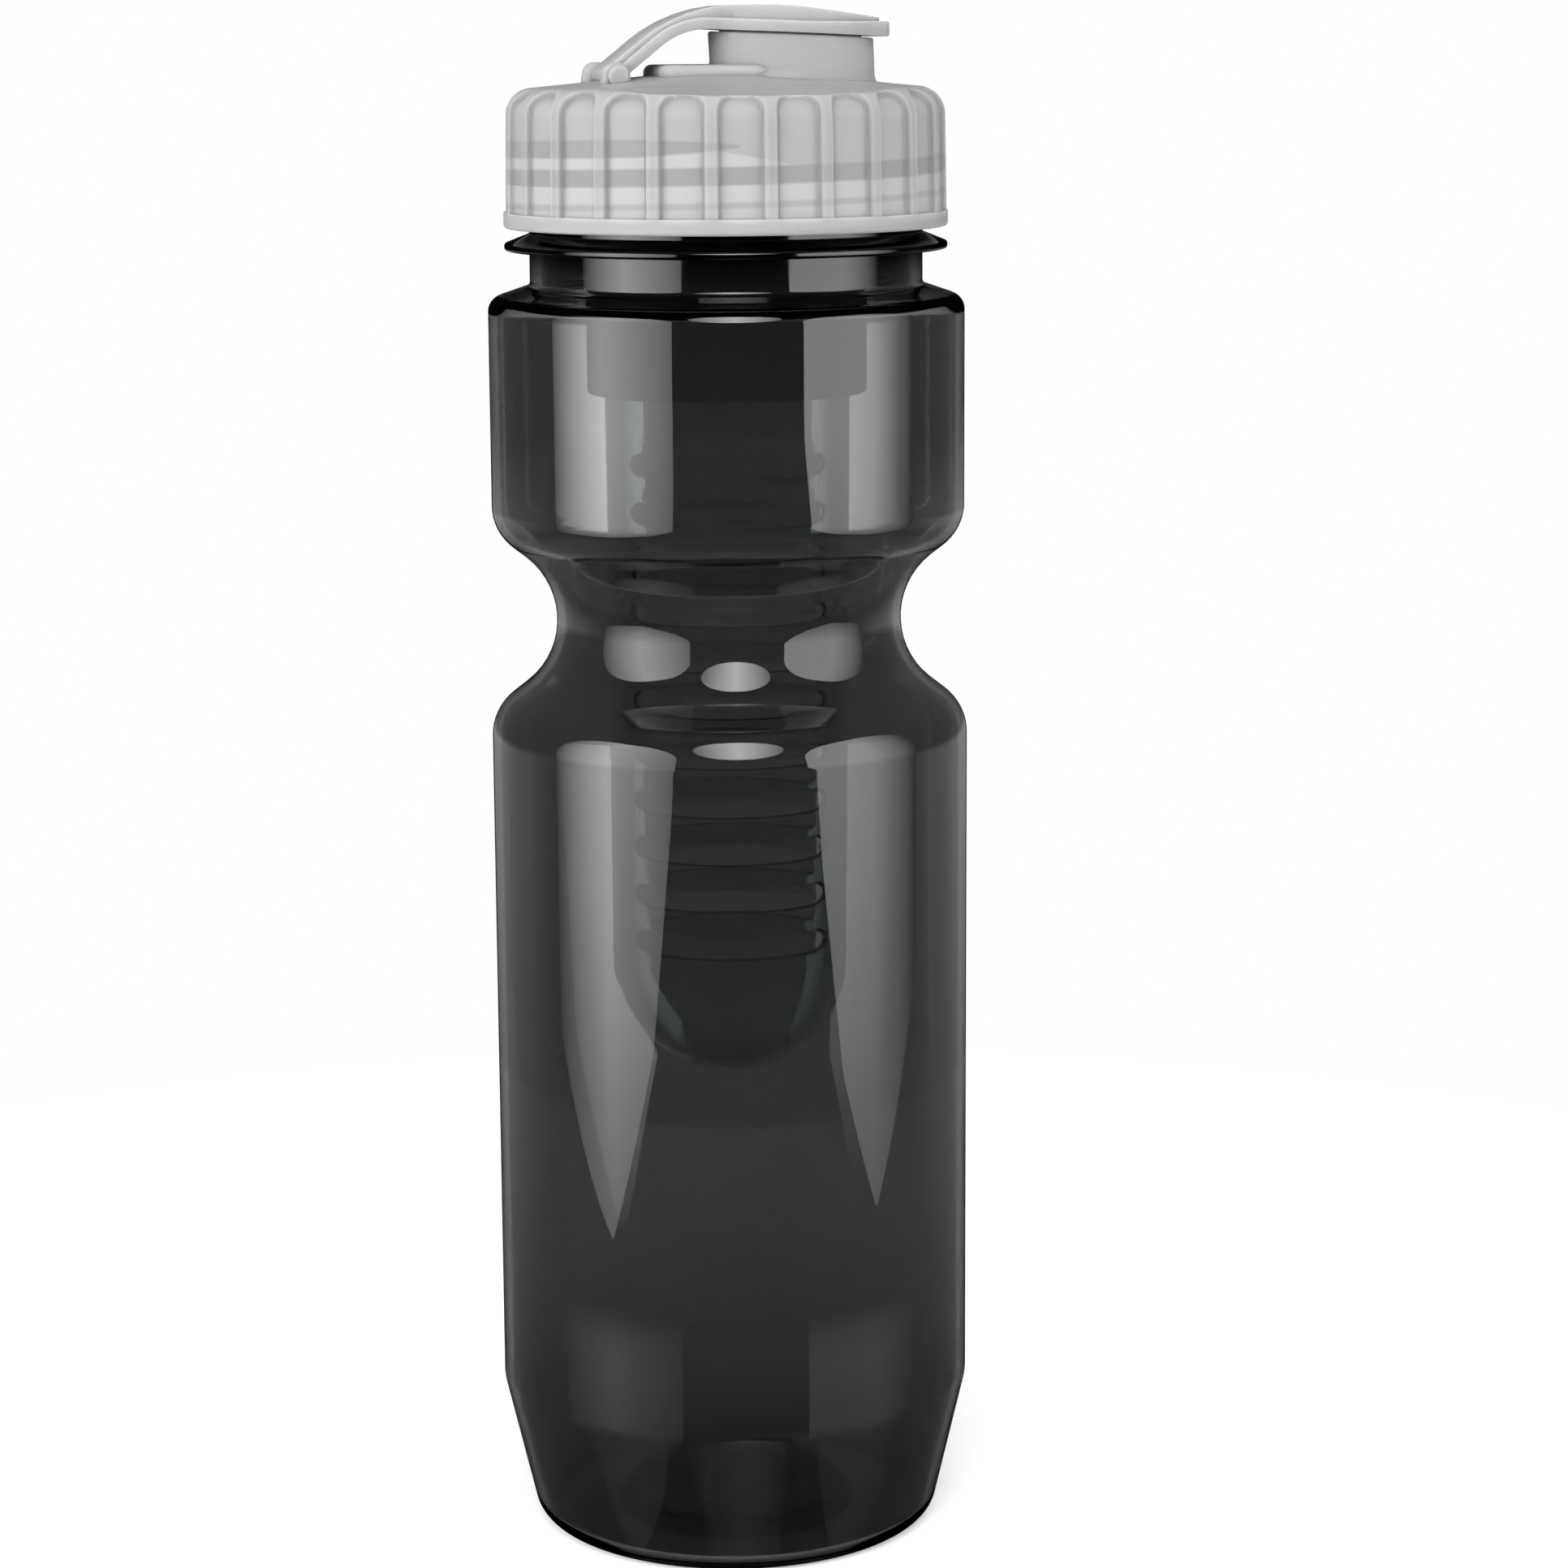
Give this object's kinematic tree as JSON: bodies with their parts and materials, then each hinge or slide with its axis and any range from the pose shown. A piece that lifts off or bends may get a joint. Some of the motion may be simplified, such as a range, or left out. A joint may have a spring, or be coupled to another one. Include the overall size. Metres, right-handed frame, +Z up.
{
  "type": "fruit infuser water bottle",
  "caption": "Smoke-tinted sports bottle with a gripped waist, a frosted ribbed screw lid with a flip strap over its spout, and a slotted infuser tube hung under the lid.",
  "frame": {"origin": "middle of the standing ring under the base, on the bottle's axis", "axes": "+Z up along the bottle, +X from the hinge towards the spout"},
  "size_m": [0.074, 0.074, 0.2384],
  "materials": {
    "bottle_smoke": "smoke-tinted clear copolyester, glossy",
    "lid_frosted": "natural polypropylene, frosted",
    "strap_frosted": "natural polypropylene, frosted",
    "collar_frosted": "natural polypropylene, frosted",
    "tube_clear": "clear polystyrene, glossy",
    "gasket_silicone": "silicone, matte"
  },
  "bodies": {
    "bottle": {"bottle": "bottle_smoke"},
    "gasket": {"lid_gasket": "gasket_silicone"},
    "collar": {"infuser_collar": "collar_frosted"},
    "lid": {"lid": "lid_frosted"},
    "strap": {"flip_strap": "strap_frosted"},
    "tube": {"infuser_tube": "tube_clear"}
  },
  "joints": [
    {"name": "lid_lift", "type": "slide", "parent": "bottle", "child": "gasket", "axis": [0, 0, 1], "range_m": [0, 0.155]},
    {"name": "lid_rise", "type": "slide", "parent": "gasket", "child": "collar", "axis": [0, 0, 1], "range_m": [0, 0.0065]},
    {"name": "lid_turn", "type": "hinge", "parent": "collar", "child": "lid", "pos_m": [0, 0, 0.2134], "axis": [0, 0, 1], "range_deg": [0, 540]},
    {"name": "strap_flip", "type": "hinge", "parent": "lid", "child": "strap", "pos_m": [-0.0183, 0, 0.228], "axis": [0, -1, 0], "range_deg": [0, 135]},
    {"name": "tube_pull", "type": "slide", "parent": "collar", "child": "tube", "axis": [0, 0, -1], "range_m": [0, 0.03]}
  ],
  "couplings": [
    {"joint": "lid_rise", "follows": "lid_turn", "m_per_rad": 0.00067323}
  ]
}
